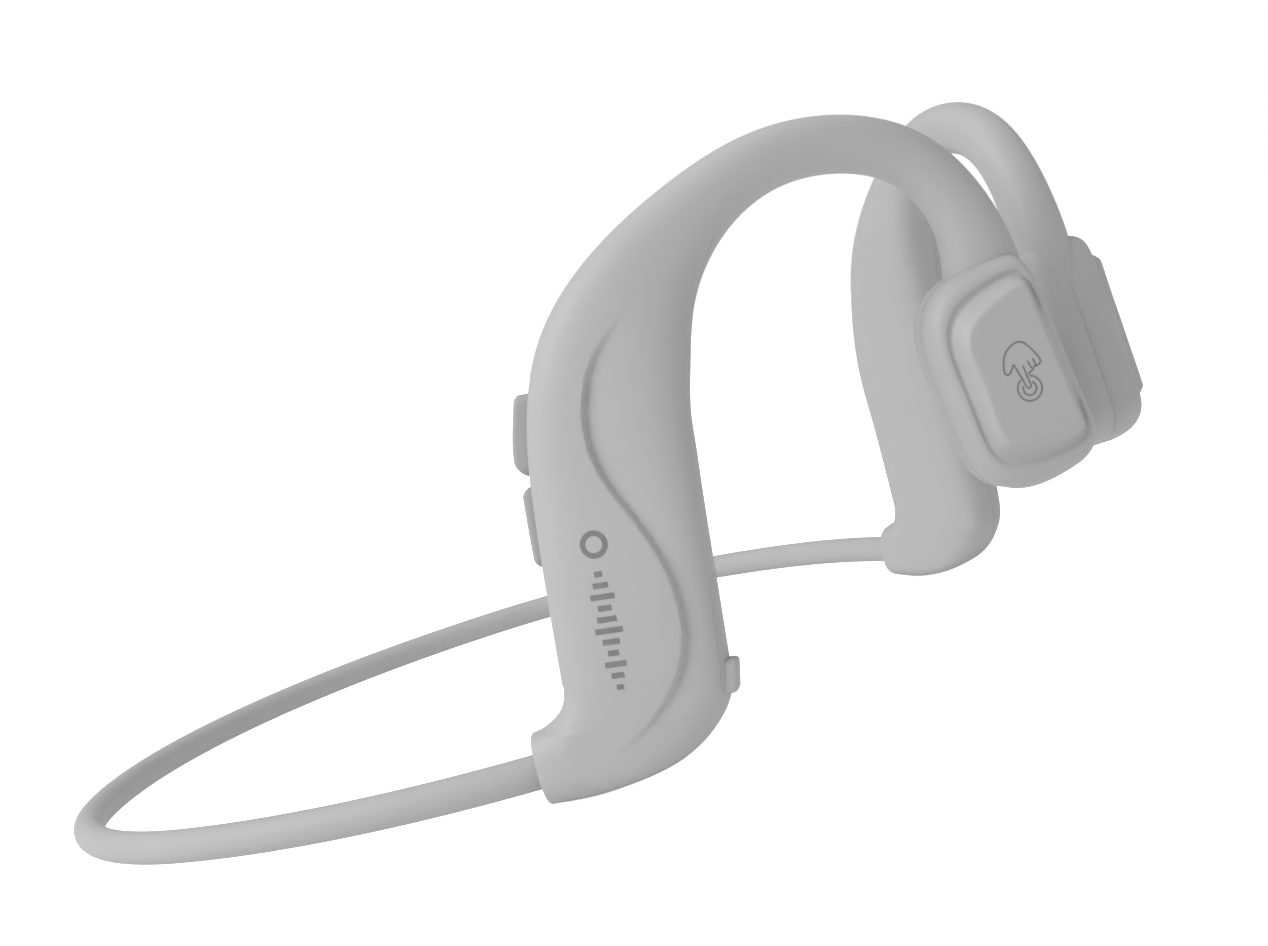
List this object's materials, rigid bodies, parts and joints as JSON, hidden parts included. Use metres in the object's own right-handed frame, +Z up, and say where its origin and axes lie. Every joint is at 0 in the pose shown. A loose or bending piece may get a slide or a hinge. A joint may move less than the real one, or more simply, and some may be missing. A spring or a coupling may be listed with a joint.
{
  "type": "bone conduction headphones",
  "caption": "Open-ear bone conduction headset: sprung neckband, ear hooks, stems with keys and charging port, and cheekbone pods with vibration drivers.",
  "frame": {"origin": "midway between the two ends of the neckband, on the mirror plane", "axes": "+Z up and square to the neckband's plane, -Y the wearer's forward, X across the head, the wearer's right unit at -X"},
  "size_m": [0.1364, 0.1597, 0.0678],
  "materials": {
    "sprung_wire": "bright drawn nickel-titanium wire",
    "cable_jacket": "thin jacket over stranded leads",
    "soft_silicone": "matte light grey silicone overmould",
    "soft_touch_shell": "light grey soft-touch coat over moulded polycarbonate",
    "key_rubber": "matte grey silicone, slightly darker than the shells",
    "pad_silicone": "matte soft silicone that rests on the skin",
    "switch_plastic": "black moulded switch body",
    "plated_steel": "nickel-plated pressed steel",
    "nickel_magnet": "nickel-plated sintered magnet",
    "brass": "turned brass",
    "copper_coil": "enamelled copper winding",
    "cell_foil": "laminated aluminium pouch",
    "foam": "closed-cell foam",
    "flex_film": "amber polyimide film with a copper pad",
    "circuit_board": "green solder mask over glass-fibre board",
    "hard_plastic": "natural glass-filled nylon"
  },
  "bodies": {
    "headset": {"neckband_core_wire": "sprung_wire", "neckband_cable": "cable_jacket", "neckband_sleeve": "soft_silicone", "neckband_crimps": "sprung_wire", "right_hook_core_wire": "sprung_wire", "left_hook_core_wire": "sprung_wire", "right_hook_cable": "cable_jacket", "left_hook_cable": "cable_jacket", "usb_socket": "plated_steel", "key_switches": "switch_plastic", "key_board": "circuit_board", "main_circuit_board": "circuit_board", "radio_module": "plated_steel", "microphone": "plated_steel", "board_screws": "plated_steel", "board_standoffs": "brass", "right_stem_outer_shell": "soft_touch_shell", "right_stem_inner_shell": "soft_touch_shell", "left_stem_outer_shell": "soft_touch_shell", "left_stem_inner_shell": "soft_touch_shell", "battery_cell": "cell_foil", "battery_foam_pad": "foam", "battery_protection_board": "circuit_board", "right_hook_sleeve": "soft_silicone", "left_hook_sleeve": "soft_silicone", "right_pod_outer_shell": "soft_touch_shell", "left_pod_outer_shell": "soft_touch_shell", "right_pod_inner_shell": "soft_touch_shell", "left_pod_inner_shell": "soft_touch_shell", "right_contact_pad": "pad_silicone", "left_contact_pad": "pad_silicone", "right_touch_sensor": "flex_film", "left_touch_sensor": "flex_film", "right_coil_plate": "hard_plastic", "left_coil_plate": "hard_plastic", "right_voice_coil": "copper_coil", "left_voice_coil": "copper_coil"},
    "volume_up_key": {"volume_up_button": "key_rubber", "volume_up_plunger": "switch_plastic"},
    "volume_down_key": {"volume_down_button": "key_rubber", "volume_down_plunger": "switch_plastic"},
    "port_cover": {"port_cover": "key_rubber"},
    "right_driver": {"right_driver_yoke_cup": "plated_steel", "right_driver_magnet": "nickel_magnet", "right_driver_pole": "plated_steel", "right_driver_spring": "plated_steel"},
    "left_driver": {"left_driver_yoke_cup": "plated_steel", "left_driver_magnet": "nickel_magnet", "left_driver_pole": "plated_steel", "left_driver_spring": "plated_steel"}
  },
  "joints": [
    {"name": "volume_up_press", "type": "slide", "parent": "headset", "child": "volume_up_key", "axis": [0.4206, -0.9021, -0.0965], "range_m": [0, 0.0004], "stiffness_N_per_m": 2500, "springref_m": -0.0001},
    {"name": "volume_down_press", "type": "slide", "parent": "headset", "child": "volume_down_key", "axis": [0.4206, -0.9021, -0.0965], "range_m": [0, 0.0004], "stiffness_N_per_m": 2500, "springref_m": -0.0001},
    {"name": "port_cover_open", "type": "hinge", "parent": "headset", "child": "port_cover", "pos_m": [-0.03973, -0.022, 0.01687], "axis": [-0.8992, -0.4287, 0.0873], "range_deg": [0, 105]},
    {"name": "right_driver_vibration", "type": "slide", "parent": "headset", "child": "right_driver", "axis": [-0.7547, -0.6561, 0], "range_m": [-0.00015, 0.00015], "stiffness_N_per_m": 3000},
    {"name": "left_driver_vibration", "type": "slide", "parent": "headset", "child": "left_driver", "axis": [0.7547, -0.6561, 0], "range_m": [-0.00015, 0.00015], "stiffness_N_per_m": 3000}
  ]
}
